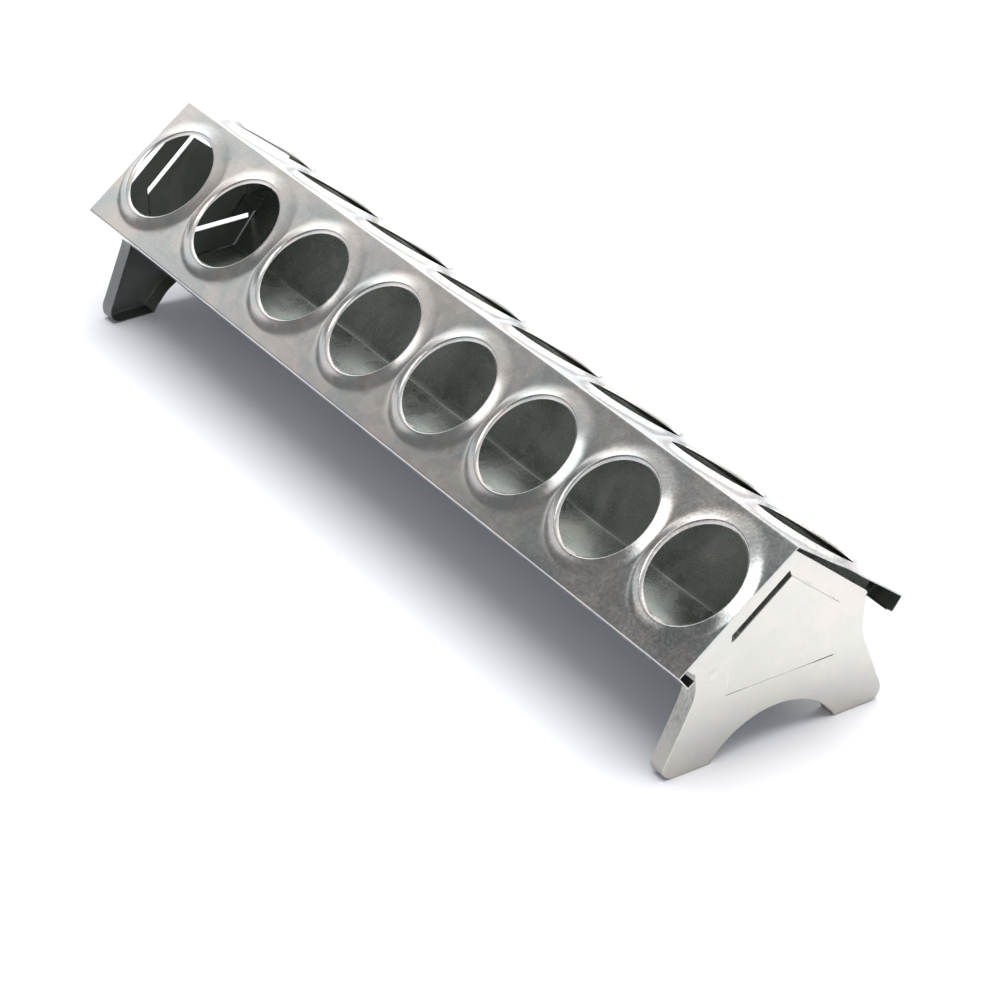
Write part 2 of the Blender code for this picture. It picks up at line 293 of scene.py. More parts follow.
def rim_height(r):
    """Height of a pressed rim at distance r from the hole's middle.

    Outside, the sheet flares up: flare = F (1 - t)^p, with F the flare's height, p its power, and t going
    from 0 at the crest to 1 at the rim's foot. Inside, the bead rolls down to the hole's edge:
    bead = E + a w (1 - w / (2 W)), with E the edge's height, a the wall's slope, w the distance from that
    edge and W the wall's reach. The rim is their soft minimum, with k the roundness of the crest:
    -k log(exp(-flare / k) + exp(-bead / k)).
    """
    t = np.minimum((r - CREST_RADIUS) / (RIM_BASE_RADIUS - CREST_RADIUS), 1.0)
    flare = FLARE_HEIGHT * (1 - t) ** FLARE_POWER
    w = np.minimum(r - HOLE_RADIUS, WALL_REACH)
    bead = HOLE_EDGE_HEIGHT + WALL_SLOPE * w * (1 - w / WALL_REACH / 2)
    return -CREST_ROUND * np.logaddexp(-flare / CREST_ROUND, -bead / CREST_ROUND)


def slope_rise(x, s):
    """How far the slope's sheet stands off its plane between the folds.

    With q the share of the slope's width, it is the bulge times 4 q (1 - q), and sin(pi q)^2 times two slow
    waves, long sin(41 x + 1.3) + slanted sin(97 x + 55 s + 0.4).
    """
    across = np.clip(s / SLOPE_WIDTH, 0.0, 1.0)
    bulge = SLOPE_BULGE * 4 * across * (1 - across)
    hold = np.sin(math.pi * across) ** 2
    wave = LONG_WAVE * np.sin(41.0 * x + 1.3) + SLANTED_WAVE * np.sin(97.0 * x + 55.0 * s + 0.4)
    return bulge + hold * wave


def tile_border():
    """The border of a hole's tile: points (x, s) from the hole's middle, at equal steps along each side."""
    left, right = -HOLE_PITCH / 2, HOLE_PITCH / 2
    top, bottom = FOLD_REACH - HOLE_FROM_RIDGE, SLOPE_WIDTH - FOLD_REACH - HOLE_FROM_RIDGE
    across = np.linspace(left, right, BORDER_X_STEPS + 1)
    down = np.linspace(top, bottom, BORDER_S_STEPS + 1)
    return np.concatenate([
        np.stack([across, np.full_like(across, top)], axis=-1)[:-1],
        np.stack([np.full_like(down, right), down], axis=-1)[:-1],
        np.stack([across[::-1], np.full_like(across, bottom)], axis=-1)[:-1],
        np.stack([np.full_like(down, left), down[::-1]], axis=-1)[:-1],
    ])


def hole_tile(index):
    """The grid round one hole, with a spoke to each point of the tile's border.

    The rings over the rim are circles: evenly spaced on wall and cone, and by the cube of an even step
    round the crest, where they crowd. From the cone's end, of radius c, a ring lies at c + (reach - c) q on
    each spoke.
    """
    middle_x = (index - (HOLES_PER_SLOPE - 1) / 2) * HOLE_PITCH
    border = tile_border()
    reach = np.linalg.norm(border, axis=-1)
    way = border / reach[:, None]
    crest = CREST_RADIUS + CREST_REACH * np.linspace(-1.0, 1.0, CREST_RINGS) ** 3
    circles = np.concatenate([
        np.linspace(HOLE_RADIUS, crest[0], WALL_RINGS + 1)[:-1],
        crest,
        np.linspace(crest[-1], CONE_END_RADIUS, CONE_RINGS + 1)[1:],
    ])
    share = np.linspace(0.0, 1.0, OUTER_RINGS + 1)[1:, None]
    outer = CONE_END_RADIUS + (reach - CONE_END_RADIUS) * share
    radius = np.concatenate([circles[:, None] * np.ones_like(reach), outer])
    x = middle_x + radius * way[:, 0]
    s = HOLE_FROM_RIDGE + radius * way[:, 1]
    return grid_block(slope_points(x, s, rim_height(radius) + slope_rise(x, s)), closed=True)


def make_cover():
    """The cover: the near slope's tiles and folds, and their mirror image."""
    near = [facing(hole_tile(index), (0, -1, 1)) for index in range(HOLES_PER_SLOPE)]
    xs = np.linspace(-COVER_LENGTH / 2, COVER_LENGTH / 2, HOLES_PER_SLOPE * BORDER_X_STEPS + 1)
    fall = near_section(SLOPE_WIDTH, 0.0)
    ridge = fold_arc(fall * OTHER_SLOPE, (0.0, 0.0), fall, FOLD_REACH, 2 * COVER_FOLD_STEPS)
    lip_end = near_section(SLOPE_WIDTH, -LIP_DEPTH)
    return_end = near_section(SLOPE_WIDTH - RETURN_WIDTH, -LIP_DEPTH)
    eave = np.concatenate([
        fold_arc((0.0, 0.0), fall, lip_end, FOLD_REACH, COVER_FOLD_STEPS),
        fold_arc(fall, lip_end, return_end, FOLD_REACH, COVER_FOLD_STEPS),
        [return_end],
    ])
    near.append(facing(grid_block(along_x(ridge[COVER_FOLD_STEPS:], xs)), (0, -1, 1)))
    near.append(facing(grid_block(along_x(eave, xs)), (0, -1, -0.3)))
    return sheet_piece("gable_cover", near + [mirrored(block) for block in near])


# Trough: floor, walls, rails and end tabs

FLOOR_FOLD_REACH = 0.0005
TROUGH_FOLD_STEPS = 4
TROUGH_STEP = 0.0022
TROUGH_COLUMNS = 141
TROUGH_END_STEPS = 4
TAB_POINTS = 5
BROAD_DENT = 0.00010
FINE_DENT = 0.00006
RAIL_START = far_section(RAIL_FROM_RIDGE, -SHEET - GAP)


def trough_end_x(z):
    """End of the trough's sheet at a depth z under the ridge."""
    return plate_outer_x(z) - SHEET - GAP - SHEET


def notch_end_x(z):
    """End of the rail and the wall's top at a depth z, cut back to leave room for the end plate's rim."""
    return plate_outer_x(z) - RIM_DEPTH - NOTCH_CLEARANCE


def wall_y(z):
    """The far wall's inner face at depth z: the straight line from the floor's edge to the rail."""
    share = (z - TROUGH_FLOOR_Z) / (RAIL_START[1] - TROUGH_FLOOR_Z)
    return TROUGH_FLOOR_HALF_WIDTH + share * (RAIL_START[0] - TROUGH_FLOOR_HALF_WIDTH)


def trough_sections():
    """The trough's half section in two parts: floor's middle to notch, and notch to the rail's lip."""
    edge_s = SLOPE_WIDTH - SHEET - RAIL_SIDE_GAP
    floor_middle = (0.0, TROUGH_FLOOR_Z)
    floor_edge = (TROUGH_FLOOR_HALF_WIDTH, TROUGH_FLOOR_Z)
    rail_edge = far_section(edge_s, -SHEET - GAP)
    rail_lip = far_section(edge_s, -LIP_DEPTH + SHEET + GAP)
    notch = (wall_y(-NOTCH_DEPTH), -NOTCH_DEPTH)
    floor_fold = fold_arc(floor_middle, floor_edge, RAIL_START, FLOOR_FOLD_REACH, TROUGH_FOLD_STEPS)
    wall_fold = fold_arc(floor_edge, RAIL_START, rail_edge, FOLD_REACH, TROUGH_FOLD_STEPS)
    edge_fold = fold_arc(RAIL_START, rail_edge, rail_lip, FOLD_REACH, TROUGH_FOLD_STEPS)
    low = subdivided(np.concatenate([[floor_middle], floor_fold, [notch]]), TROUGH_STEP)
    high = subdivided(np.concatenate([[notch], wall_fold, edge_fold, [rail_lip]]), TROUGH_STEP)
    return low, high


def dented(x, y, z):
    """The trough's points moved by faint dents along the floor's or the wall's normal.

    The dents are broad sin(63 x + 0.7) sin(171 y + 2 sin(23 x)) + fine sin(139 x + 90 y). On the floor they
    fade from the middle line to the edge, and on the wall they are weighed by 4 q (1 - q) at the share q of
    its height.
    """
    wall_way = RAIL_START - (TROUGH_FLOOR_HALF_WIDTH, TROUGH_FLOOR_Z)
    normal_y, normal_z = np.array([-wall_way[1], wall_way[0]]) / np.linalg.norm(wall_way)
    floor_part = np.clip(1 - y / TROUGH_FLOOR_HALF_WIDTH, 0.0, 1.0)
    wall_share = np.clip((z - TROUGH_FLOOR_Z) / (RAIL_START[1] - TROUGH_FLOOR_Z), 0.0, 1.0)
    wall_part = np.where(y > TROUGH_FLOOR_HALF_WIDTH, wall_share * (1 - wall_share) * 4, 0.0)
    dent = BROAD_DENT * np.sin(63.0 * x + 0.7) * np.sin(171.0 * y + 2.0 * np.sin(23.0 * x))
    dent = dent + FINE_DENT * np.sin(139.0 * x + 90.0 * y)
    y = y + wall_part * dent * normal_y
    z = z + (floor_part + wall_part * normal_z) * dent
    return np.stack([x, y, z], axis=-1)


def trough_part(profile, to_ends):
    """One part of the half section carried along X as far as the notches, or on to the trough's ends."""
    y, z = profile[:, :1], profile[:, 1:]
    cut = notch_end_x(z)
    x = cut * np.linspace(-1.0, 1.0, TROUGH_COLUMNS)
    if to_ends:
        end = cut + (trough_end_x(z) - cut) * np.linspace(0.0, 1.0, TROUGH_END_STEPS + 1)[1:]
        x = np.concatenate([-end[:, ::-1], x, end], axis=1)
    return facing(grid_block(dented(x, y, z)), (0, -0.3, 1))


def end_tab(end):
    """The tab at one end (+1 or -1 along X) of the far wall: a flat grid that runs in from the wall."""
    z = np.linspace(-TAB_BOTTOM_DEPTH, -TAB_TOP_DEPTH, TAB_POINTS)[:, None]
    tab = np.empty((TAB_POINTS, TAB_POINTS, 3))
    tab[..., 0] = end * trough_end_x(z)
    tab[..., 1] = wall_y(z) - np.linspace(0.0, TAB_LENGTH, TAB_POINTS)
    tab[..., 2] = z
    return facing(grid_block(tab), (-end, 0, 0))


def make_trough():
    """The trough: its far half with the two tabs, and the mirror image."""
    low, high = trough_sections()
    half = [trough_part(low, True), trough_part(high, False), end_tab(-1.0), end_tab(1.0)]
    return sheet_piece("feed_trough", half + [mirrored(block) for block in half])


# End plates

APEX_STEPS = 6
SHOULDER_STEPS = 14
EAR_BEND_STEPS = 4
EAR_TIP_STEPS = 8
EAR_NECK_STEPS = 8
WAIST_STEPS = 8
TOE_STEPS = 10
ARCH_STEPS = 25
OUTLINE_STEP = 0.0025
RIM_START_STEP = 0.0008
FACE_STEPS = 12
RIM_FOLD_STEPS = 6
RIM_RUN_STEPS = 6
PANEL_COLUMNS = 61
PANEL_WALL_STEPS = 6
PANEL_ROWS = 33
SLOT_BEND = 0.0011
PEAK_LEFT = 0.0010
PEAK_RUN = 0.0040
CREASE_HEIGHT = 0.00017
CREASES_PER_WALL = 1.6
SWAY_START_DEPTH = 0.088
SWAY_RUN = 0.048
CRUMPLE = 0.00022
CRUMPLE_START_DEPTH = 0.084
CRUMPLE_RUN = 0.012
WELD_FROM_MIDDLE = 0.0365
WELD_DEPTH = 0.0540
WELD_DENT = 0.00030
WELD_DENT_RADIUS = 0.0019
WELD_RING = 0.00008
WELD_RING_RADIUS = 0.0032
WELD_RING_WIDTH = 0.0008
PLATE_WAVE = 0.00007


def plate_corners(ear):
    """The corners of a plate's half outline: the place, the arc's radius and the arc's steps of each.

    The first only gives the apex its other leg, the gable's twin on the other half. An ear is the longer
    shoulder that reaches into the cover's folded eave. With r the radius of the apex's arc, the corner
    stands over the arc's top by r (sqrt(1 + fall^2) - 1).
    """
    fall = EAR_FALL if ear else GABLE_FALL
    top = APEX_RADIUS * (math.hypot(1.0, fall) - 1) - APEX_DEPTH
    corners = [((-1.0, top - fall), 0.0, 0), ((0.0, top), APEX_RADIUS, 2 * APEX_STEPS)]
    if ear:
        corners.append(((EAR_BEND, top - fall * EAR_BEND), EAR_BEND_RADIUS, EAR_BEND_STEPS))
        corners.append((EAR_TIP, EAR_TIP_RADIUS, EAR_TIP_STEPS))
        corners.append((EAR_NECK, EAR_NECK_RADIUS, EAR_NECK_STEPS))
    else:
        shoulder = (SHOULDER_HALF_WIDTH, top - fall * SHOULDER_HALF_WIDTH)
        corners.append((shoulder, SHOULDER_RADIUS, SHOULDER_STEPS))
    corners.append(((SHOULDER_HALF_WIDTH, -WAIST_DEPTH), WAIST_RADIUS, WAIST_STEPS))
    corners.append(((TOE_HALF_WIDTH, -RIDGE_HEIGHT), TOE_RADIUS, TOE_STEPS))
    corners.append(((FOOT_INNER_HALF_WIDTH, -RIDGE_HEIGHT), 0.0, 0))
    return corners


def corner_arc(before, corner, after):
    """A corner's arc: with v the angle between the corner's legs, it starts radius / tan(v / 2) away."""
    place, radius, steps = corner
    back, ahead = np.subtract(before[0], place), np.subtract(after[0], place)
    cosine = float(back @ ahead) / np.linalg.norm(back) / np.linalg.norm(ahead)
    return fold_arc(before[0], place, after[0], radius / math.tan(math.acos(cosine) / 2), steps)


def arch_arc():
    """Half of the arch between the feet, from the foot to its top.

    It is a circle's arc of radius (w^2 + h^2) / (2 h), with w the arch's half width and h its height.
    """
    rise = RIDGE_HEIGHT - ARCH_TOP_DEPTH
    radius = (FOOT_INNER_HALF_WIDTH ** 2 + rise ** 2) / (2 * rise)
    angles = math.asin(FOOT_INNER_HALF_WIDTH / radius) * np.linspace(1.0, 0.0, ARCH_STEPS + 1)
    return np.stack([radius * np.sin(angles), -ARCH_TOP_DEPTH - radius + radius * np.cos(angles)], axis=-1)


def rounded_outline(ear):
    """Half of a plate's outline as one polyline, and the places along it that face the panel's two corners.

    These are the middles of the shoulder's arc, or the ear's tip, and of the toe's. The straight legs
    between the arcs are cut into equal steps, which are short from the shoulder to the waist, where the rim
    starts.
    """
    corners = plate_corners(ear)
    arcs = [corner_arc(*three) for three in zip(corners, corners[1:], corners[2:])]
    arcs[0] = arcs[0][APEX_STEPS:]
    arcs.append(arch_arc())
    toe = arcs[-2]
    shoulder = next(arc for arc in arcs if arc[0, 0] > SHOULDER_HALF_WIDTH / 2)
    parts, faced = [arcs[0]], []
    for last, arc in zip(arcs, arcs[1:]):
        rim_starts = last[-1, 0] > SHOULDER_HALF_WIDTH / 2 and arc[0, 1] > -WAIST_DEPTH
        leg = np.array([last[-1], arc[0]])
        parts.append(subdivided(leg, RIM_START_STEP if rim_starts else OUTLINE_STEP)[1:-1])
        if arc is shoulder or arc is toe:
            faced.append(sum(len(part) for part in parts) + len(arc) // 2)
        parts.append(arc)
    return np.concatenate(parts), faced


def outward(outline):
    """Unit vectors that point out of the plate along its half outline; the ends stay on the mirror line."""
    way = np.gradient(outline, axis=0)
    out = np.stack([-way[:, 1], way[:, 0]], axis=-1)
    out /= np.linalg.norm(out, axis=-1)[:, None]
    out[0] = (0.0, 1.0)
    out[-1] = (0.0, -1.0)
    return out


def plate_dents(y, z):
    """Small dents of the sheet, positive outwards: a spot weld each side, and slow waviness.

    At distance d from a weld, the sheet falls by dent exp(-(d / r)^2), with r the dent's radius, and rises
    by ring exp(-((d - R) / w)^2), with R the ring's radius and w its width. The waviness is
    wave sin(88 y + 1) sin(75 z).
    """
    dents = np.zeros_like(y)
    for side in (-1.0, 1.0):
        distance = np.hypot(y - side * WELD_FROM_MIDDLE, z + WELD_DEPTH)
        dents -= WELD_DENT * np.exp(-((distance / WELD_DENT_RADIUS) ** 2))
        dents += WELD_RING * np.exp(-(((distance - WELD_RING_RADIUS) / WELD_RING_WIDTH) ** 2))
    return dents + PLATE_WAVE * np.sin(88.0 * y + 1.0) * np.sin(75.0 * z)


def swayed(panel, y, z, share):
    """The plate's y, its top a little to one side; the panel (share 0) stayed in place."""
    return y + panel["sway"] * smooth((z + SWAY_START_DEPTH) / SWAY_RUN) * share


def plate_face(half, panel, edge, faced):
    """One half (+1 or -1 along Y) of a plate's face, from the panel's opening out to its edge.

    The face is ruled: the point at share q is (1 - q) inner + q edge. The opening's upper side falls like
    the panel's gables, a slot's height over them, and its lower side is a slot's height under the panel.
    """
    first, second = faced
    slot_top = panel["right_slot" if half > 0 else "left_slot"] - panel["peak"]
    low = -PANEL_BOTTOM_DEPTH - panel["bottom_slot"]
    peak = (0.0, panel["right_slot"] - panel["peak"])
    bend = (SLOT_BEND, slot_top - PANEL_FALL * SLOT_BEND)
    upper_corner = (PANEL_HALF_WIDTH, slot_top - PANEL_FALL * PANEL_HALF_WIDTH)
    lower_corner = (PANEL_HALF_WIDTH, low)
    inner = np.concatenate([
        spread(np.array([peak, bend, upper_corner]), first + 1),
        spread(np.array([upper_corner, lower_corner]), second - first + 1)[1:],
        spread(np.array([lower_corner, (0.0, low)]), len(edge) - second)[1:],
    ])
    share = np.linspace(0.0, 1.0, FACE_STEPS + 1)[:, None, None]
    flat = inner * (1 - share) + edge * share
    y, z = flat[..., 0] * half, flat[..., 1]
    points = np.stack([plate_outer_x(z) + plate_dents(y, z), swayed(panel, y, z, share[..., 0]), z], axis=-1)
    return facing(grid_block(points), (1, 0, 0))


def plate_rim(half, panel, outline, out, reach, depth):
    """One half (+1 or -1 along Y) of a plate's rim, along the outline's points that have one.

    The sheet turns through a quarter circle of the fold's reach and runs straight in along the feeder to
    the rim's depth. Low on the foot it is crumpled by c sin(820 z + 3 half) sin(1500 inwards).
    """
    turn = np.linspace(0.0, math.pi / 2, RIM_FOLD_STEPS + 1)[:, None]
    run = np.linspace(0.0, 1.0, RIM_RUN_STEPS + 1)[1:, None]
    sideways = np.concatenate([-reach + reach * np.sin(turn), np.zeros((len(run), len(outline)))])
    inwards = np.concatenate([reach - reach * np.cos(turn), reach + (depth - reach) * run])
    points = outline + out * sideways[..., None]
    y, z = points[..., 0] * half, points[..., 1]
    settling = plate_dents(y[:1], z[:1]) * np.linspace(1.0, 0.0, len(y))[:, None] ** 2
    crumple = CRUMPLE * np.sin(820.0 * z + 3.0 * half) * np.sin(1500.0 * inwards)
    crumple = crumple * smooth((-z - CRUMPLE_START_DEPTH) / CRUMPLE_RUN)
    x = plate_outer_x(z) - inwards + settling
    block = grid_block(np.stack([x, swayed(panel, y, z, 1.0) + crumple, z], axis=-1))
    way_out = np.stack([np.zeros(len(out)), out[:, 0] * half, out[:, 1]], axis=-1)
    column = block[1][:, 0] % len(out)
    return facing(block, way_out[column])


def plate_skin(half, panel):
    """One half (+1 or -1 along Y) of a plate: its face, and its rim where the outline is deep enough."""
    ear = panel["ear"] and half < 0
    outline, faced = rounded_outline(ear)
    out = outward(outline)
    rim_top = EAR_RIM_TOP_DEPTH if ear else RIM_TOP_DEPTH
    depth = RIM_DEPTH * np.clip((-outline[:, 1] - rim_top) / RIM_RAMP, 0.0, 1.0)
    reach = np.minimum(RIM_FOLD, depth * RIM_FOLD_SHARE)
    face = plate_face(half, panel, outline - out * reach[:, None], faced)
    rim = np.nonzero(depth > 0.0)[0]
    return [face, plate_rim(half, panel, outline[rim], out[rim], reach[rim], depth[rim])]


def panel_lift(panel, y, v):
    """How far the panel stands off the plate at height share v.

    It is rise (l + (1 - l) v^2) s g, where l is the share kept at the lower edge, s is the smooth step over
    the run of the panel's side wall, and g falls from 1 left of the peak to the share kept on the right.
    """
    low, right = panel["low_share"], panel["right_share"]
    side = smooth((PANEL_HALF_WIDTH - np.abs(y)) / panel["wall"])
    across = 1 + (right - 1) * smooth((y + PEAK_LEFT) / PEAK_RUN)
    return panel["rise"] * (low + (1 - low) * v * v) * side * across


def panel_skin(panel):
    """The house-shaped panel: a grid of y across and v up, lifted off the plate.

    A fine crease, half a sine wave, runs up each side wall from its foot.
    """
    flat_edge = PANEL_HALF_WIDTH - panel["wall"]
    core = np.linspace(-flat_edge, flat_edge, PANEL_COLUMNS)
    side = PANEL_HALF_WIDTH - panel["wall"] * (1 - np.linspace(0.0, 1.0, PANEL_WALL_STEPS + 1)[1:])
    ys = np.concatenate([-side[::-1], core, side])
    v = np.linspace(0.0, 1.0, PANEL_ROWS)[:, None]
    top = -panel["peak"] - PANEL_FALL * np.abs(ys)
    z = -PANEL_BOTTOM_DEPTH + (top + PANEL_BOTTOM_DEPTH) * v
    y = np.broadcast_to(ys, z.shape)
    up_wall = (PANEL_HALF_WIDTH - np.abs(y)) / panel["wall"]
    crease = CREASE_HEIGHT * np.sin(math.pi * np.clip(up_wall * CREASES_PER_WALL, 0.0, 1.0))
    x = plate_outer_x(z) + plate_dents(y, z) + panel_lift(panel, y, v) + crease
    return facing(grid_block(np.stack([x, y, z], axis=-1)), (1, 0, 0))


def make_plate(name, panel, turn):
    """An end plate, built for the near end and turned half round for the far one."""
    blocks = plate_skin(1.0, panel) + plate_skin(-1.0, panel) + [panel_skin(panel)]
    return sheet_piece(name, blocks, even=False, turn=turn)


# Node materials

class Socket:
    """A node's output that can be added, multiplied and mixed like a number."""

    def __init__(self, tree, output):
        self.tree = tree
        self.output = output

    def math(self, operation, *others):
        """A Math node on this value and the others."""
        return add_node(self.tree, "Math", {"operation": operation}, enumerate((self, *others)))

    def __add__(self, other):
        return self.math("ADD", other)

    def __mul__(self, other):
        return self.math("MULTIPLY", other)

    def __sub__(self, other):
        return self.math("SUBTRACT", other)

    def __rsub__(self, other):
        return (self * -1.0) + other

    __radd__ = __add__
    __rmul__ = __mul__

    def near(self, middle, reach):
        """1 at the middle, fading smoothly to 0 at the reach on both sides."""
        return (self - middle).math("ABSOLUTE").step(reach, 0.0)

    def step(self, low, high):
        """Smooth ramp from 0 at low to 1 at high, held beyond them."""
        values = enumerate((self, low, high, 0.0, 1.0))
        return add_node(self.tree, "MapRange", {"interpolation_type": "SMOOTHSTEP"}, values)


def plug(tree, socket, value):
    """Links a Socket to an input, or writes a plain value into it."""
    if isinstance(value, Socket):
        tree.links.new(value.output, socket)
    else:
        socket.default_value = value


def add_node(tree, kind, settings=(), values=(), output=0):
    """Adds a node of any kind: its settings first, then its inputs' values or links, by number or name."""
    node = tree.nodes.new("ShaderNode" + kind)
    for name, value in dict(settings).items():
        setattr(node, name, value)
    for name, value in dict(values).items():
        plug(tree, node.inputs[name], value)
    return Socket(tree, node.outputs[output]) if node.outputs else None


class Nodes:
    """A material's or world's node tree."""

    def __init__(self, tree):
        self.tree = tree

    def node(self, kind, output=0, **inputs):
        """A node of any kind. Its inputs are named in words, with underscores for spaces."""
        values = {name.replace("_", " "): value for name, value in inputs.items()}
        return add_node(self.tree, kind, values=values, output=output)

    def mix(self, factor, first, second, blend="MIX"):
        """A Mix node on two colours."""
        colors = [color if isinstance(color, Socket) else (*color, 1.0) for color in (first, second)]
        settings = {"data_type": "RGBA", "blend_type": blend}
        return add_node(self.tree, "Mix", settings, {0: factor, 6: colors[0], 7: colors[1]}, output=2)

    def vector(self, operation, first, second):
        """A Vector Math node."""
        return add_node(self.tree, "VectorMath", {"operation": operation}, {0: first, 1: second})

    def part(self, vector, index):
        """X, Y or Z of a vector."""
        return self.node("SeparateXYZ", output=index, Vector=vector)

    def place(self, scale=(1.0, 1.0, 1.0)):
        """Object coordinates in metres, scaled."""
        where = self.node("TexCoord", output="Object")
        return self.node("Mapping", Vector=where, Scale=scale)

    def noise(self, vector, scale, detail=3.0, roughness=0.5, distortion=0.0):
        """A Noise node's level, about 0.5 on the mean. The scale is in features a metre."""
        return self.node("TexNoise", Vector=vector, Scale=scale, Detail=detail, Roughness=roughness,
                         Distortion=distortion)


def emptied(owner):
    """The node tree of a material or a world, cleared."""
    owner.use_nodes = True
    owner.node_tree.nodes.clear()
    return Nodes(owner.node_tree)


def finish_surface(material, finish):
    """Plugs values or links into a material's own shader, by the names of its inputs."""
    shader = material.node_tree.nodes["Principled BSDF"]
    for name, value in finish.items():
        plug(material.node_tree, shader.inputs[name], value)


# Zinc: the cool and the warm grey of its patches, and the weights of specks and of clouds in its mottling.
# The dark greys are painted shade for the faces inside and under the feeder.
BRIGHT = ((0.50, 0.53, 0.53), (0.60, 0.575, 0.555))
PALE = ((0.64, 0.635, 0.585), (0.68, 0.645, 0.590))
INSIDE_SHADE = ((0.25, 0.275, 0.255), (0.31, 0.31, 0.285))
SPECKLED = (1.4, 1.1)
CLOUDED = (0.3, 2.6)


def zinc(colors, pattern, tone, mottle, rough, grain, warm):
    """One face's coating: its tone, partly painted shade, its mottling, roughness and grain, and how far it
    leans to the warm grey.
    """
    return {"colors": colors, "pattern": pattern, "tone": tone, "mottle": mottle,
            "rough": rough, "grain": grain, "warm": warm}


# Tones are partly painted shade: the inner faces and the far plate, which stands in the cover's shade, are
# set darker
COATINGS = {
    "gable_cover": zinc(BRIGHT, SPECKLED, tone=1.0, mottle=0.20, rough=0.20, grain=0.09, warm=0.75),
    "cover_inside": zinc(INSIDE_SHADE, SPECKLED, tone=0.6, mottle=0.30, rough=0.34, grain=0.06, warm=0.4),
    "feed_trough": zinc(INSIDE_SHADE, CLOUDED, tone=1.28, mottle=0.36, rough=0.27, grain=0.05, warm=0.15),
    "trough_underside": zinc(INSIDE_SHADE, SPECKLED, tone=1.3, mottle=0.20, rough=0.30, grain=0.05, warm=0.3),
    "near_end_plate": zinc(PALE, SPECKLED, tone=1.03, mottle=0.10, rough=0.36, grain=0.05, warm=0.60),
    "near_plate_inside": zinc(INSIDE_SHADE, SPECKLED, tone=1.2, mottle=0.20, rough=0.34, grain=0.05, warm=0.3),
    "far_end_plate": zinc(BRIGHT, SPECKLED, tone=0.36, mottle=0.15, rough=0.33, grain=0.05, warm=0.30),
    "far_plate_inside": zinc(INSIDE_SHADE, SPECKLED, tone=0.7, mottle=0.18, rough=0.33, grain=0.05, warm=0.2),
}
METALLIC = 0.95

# Shares of the texture's layers in the zinc's mottling, patches, roughness and grain
CRYSTAL_WEIGHT = 0.35
STREAK_WEIGHT = 0.5
BEND_SHARE = 0.4
PATCH_FROM = 0.62
PATCH_TO = 0.78
PATCH_LEAN = 0.3
SPECK_ROUGHNESS = 0.16
CRYSTAL_ROUGHNESS = 0.06
CLOUD_ROUGHNESS = 0.10
STREAK_SHARE = 0.4
GRAIN_HEIGHT = 0.0004

# The texture's features a metre, and how far the crystals' edges wander
WANDER_SCALE = 120.0
WANDER_REACH = 0.006
CRYSTAL_SCALE = 150.0
SPECK_SCALE = 900.0
CLOUD_SCALE = 22.0
BEND_SCALE = 45.0
STREAK_SCALE = (9.0, 420.0, 420.0)

# Marks and painted shade or light: where each fades in, from and to, or its middle and reach, all in metres,
# and its strength
# Painted shade of the right gable's narrow slot, broken into ragged scribbles
SLOT_SHADE_SCRIBBLES = ((0.0095, 0.0045), (0.0255, 0.0050))
SLOT_SHADE_SCALE = 780.0
SIDE_SHADE_SCALE = 900.0
SPANGLE_SCALE = 620.0
SLOT_SHADE_OVER_CUT = 0.0004
SLOT_SHADE_REACH = 0.0022
SLOT_SHADE_STRENGTH = 0.5
# Painted shade on the rims that face sideways, mottled and deepest halfway up
SIDE_SHADE_HEIGHT = 0.038
SIDE_SHADE_REACH = 0.034
SIDE_SHADE_STRENGTH = 0.75
FOLD_SHADE = 0.08
# Painted shade towards the plate's feet
FOOT_SHADE_LEVEL = 0.68
FOOT_SHADE_FADE = (-0.010, 0.045)
NEAR_SPANGLE = 1.2
NEAR_SPANGLE_FADE = (0.06, 0.24)
# Painted light and shade along the cover: paler far end, darker near end
FAR_COVER_LIGHT = 1.18
NEAR_COVER_SHADE = 0.25
NEAR_COVER_SHADE_FADE = (-0.25, 0.20)
# Painted shade: the trough darker towards the far end
FAR_TROUGH_SHADE = 0.40
TROUGH_SHADE_FADE = (-0.24, -0.19)


def near_plate_painted_shade(nodes, where):
    """Painted shade on the near plate: darker towards the feet, ragged along the panel's right gable cut,
    mottled on the rims that face sideways.
    """
    y, z = nodes.part(where, 1), nodes.part(where, 2)
    # Painted shade of the narrow slot along the panel's right gable cut, in ragged scribbles
    over_cut = z + y * PANEL_FALL - (RIDGE_HEIGHT - NEAR_PANEL["peak"] + SLOT_SHADE_OVER_CUT)
    first, second = SLOT_SHADE_SCRIBBLES
    places = y.near(*first) + y.near(*second)
    ragged_shade = nodes.noise(nodes.place(scale=(1.0, 1.0, 1.6)), SLOT_SHADE_SCALE, detail=2.0).step(0.50, 0.62)
    # Painted shade on the rims that face sideways, mottled and deepest halfway up
    sideways = nodes.part(nodes.node("TexCoord", output="Normal"), 1).math("ABSOLUTE")
    mottled_shade = nodes.noise(nodes.place(scale=(1.0, 1.0, 0.25)), SIDE_SHADE_SCALE, detail=4.0)
    mottled_shade = mottled_shade * z.near(SIDE_SHADE_HEIGHT, SIDE_SHADE_REACH) * SIDE_SHADE_STRENGTH
    side_shade = sideways.step(0.45, 0.85) * (FOLD_SHADE + mottled_shade)
    # Painted shade: the plate darkens towards its feet
    tone = z.step(*FOOT_SHADE_FADE) * (1 - FOOT_SHADE_LEVEL) + FOOT_SHADE_LEVEL
    return tone - over_cut.near(0.0, SLOT_SHADE_REACH) * places * ragged_shade * SLOT_SHADE_STRENGTH - side_shade


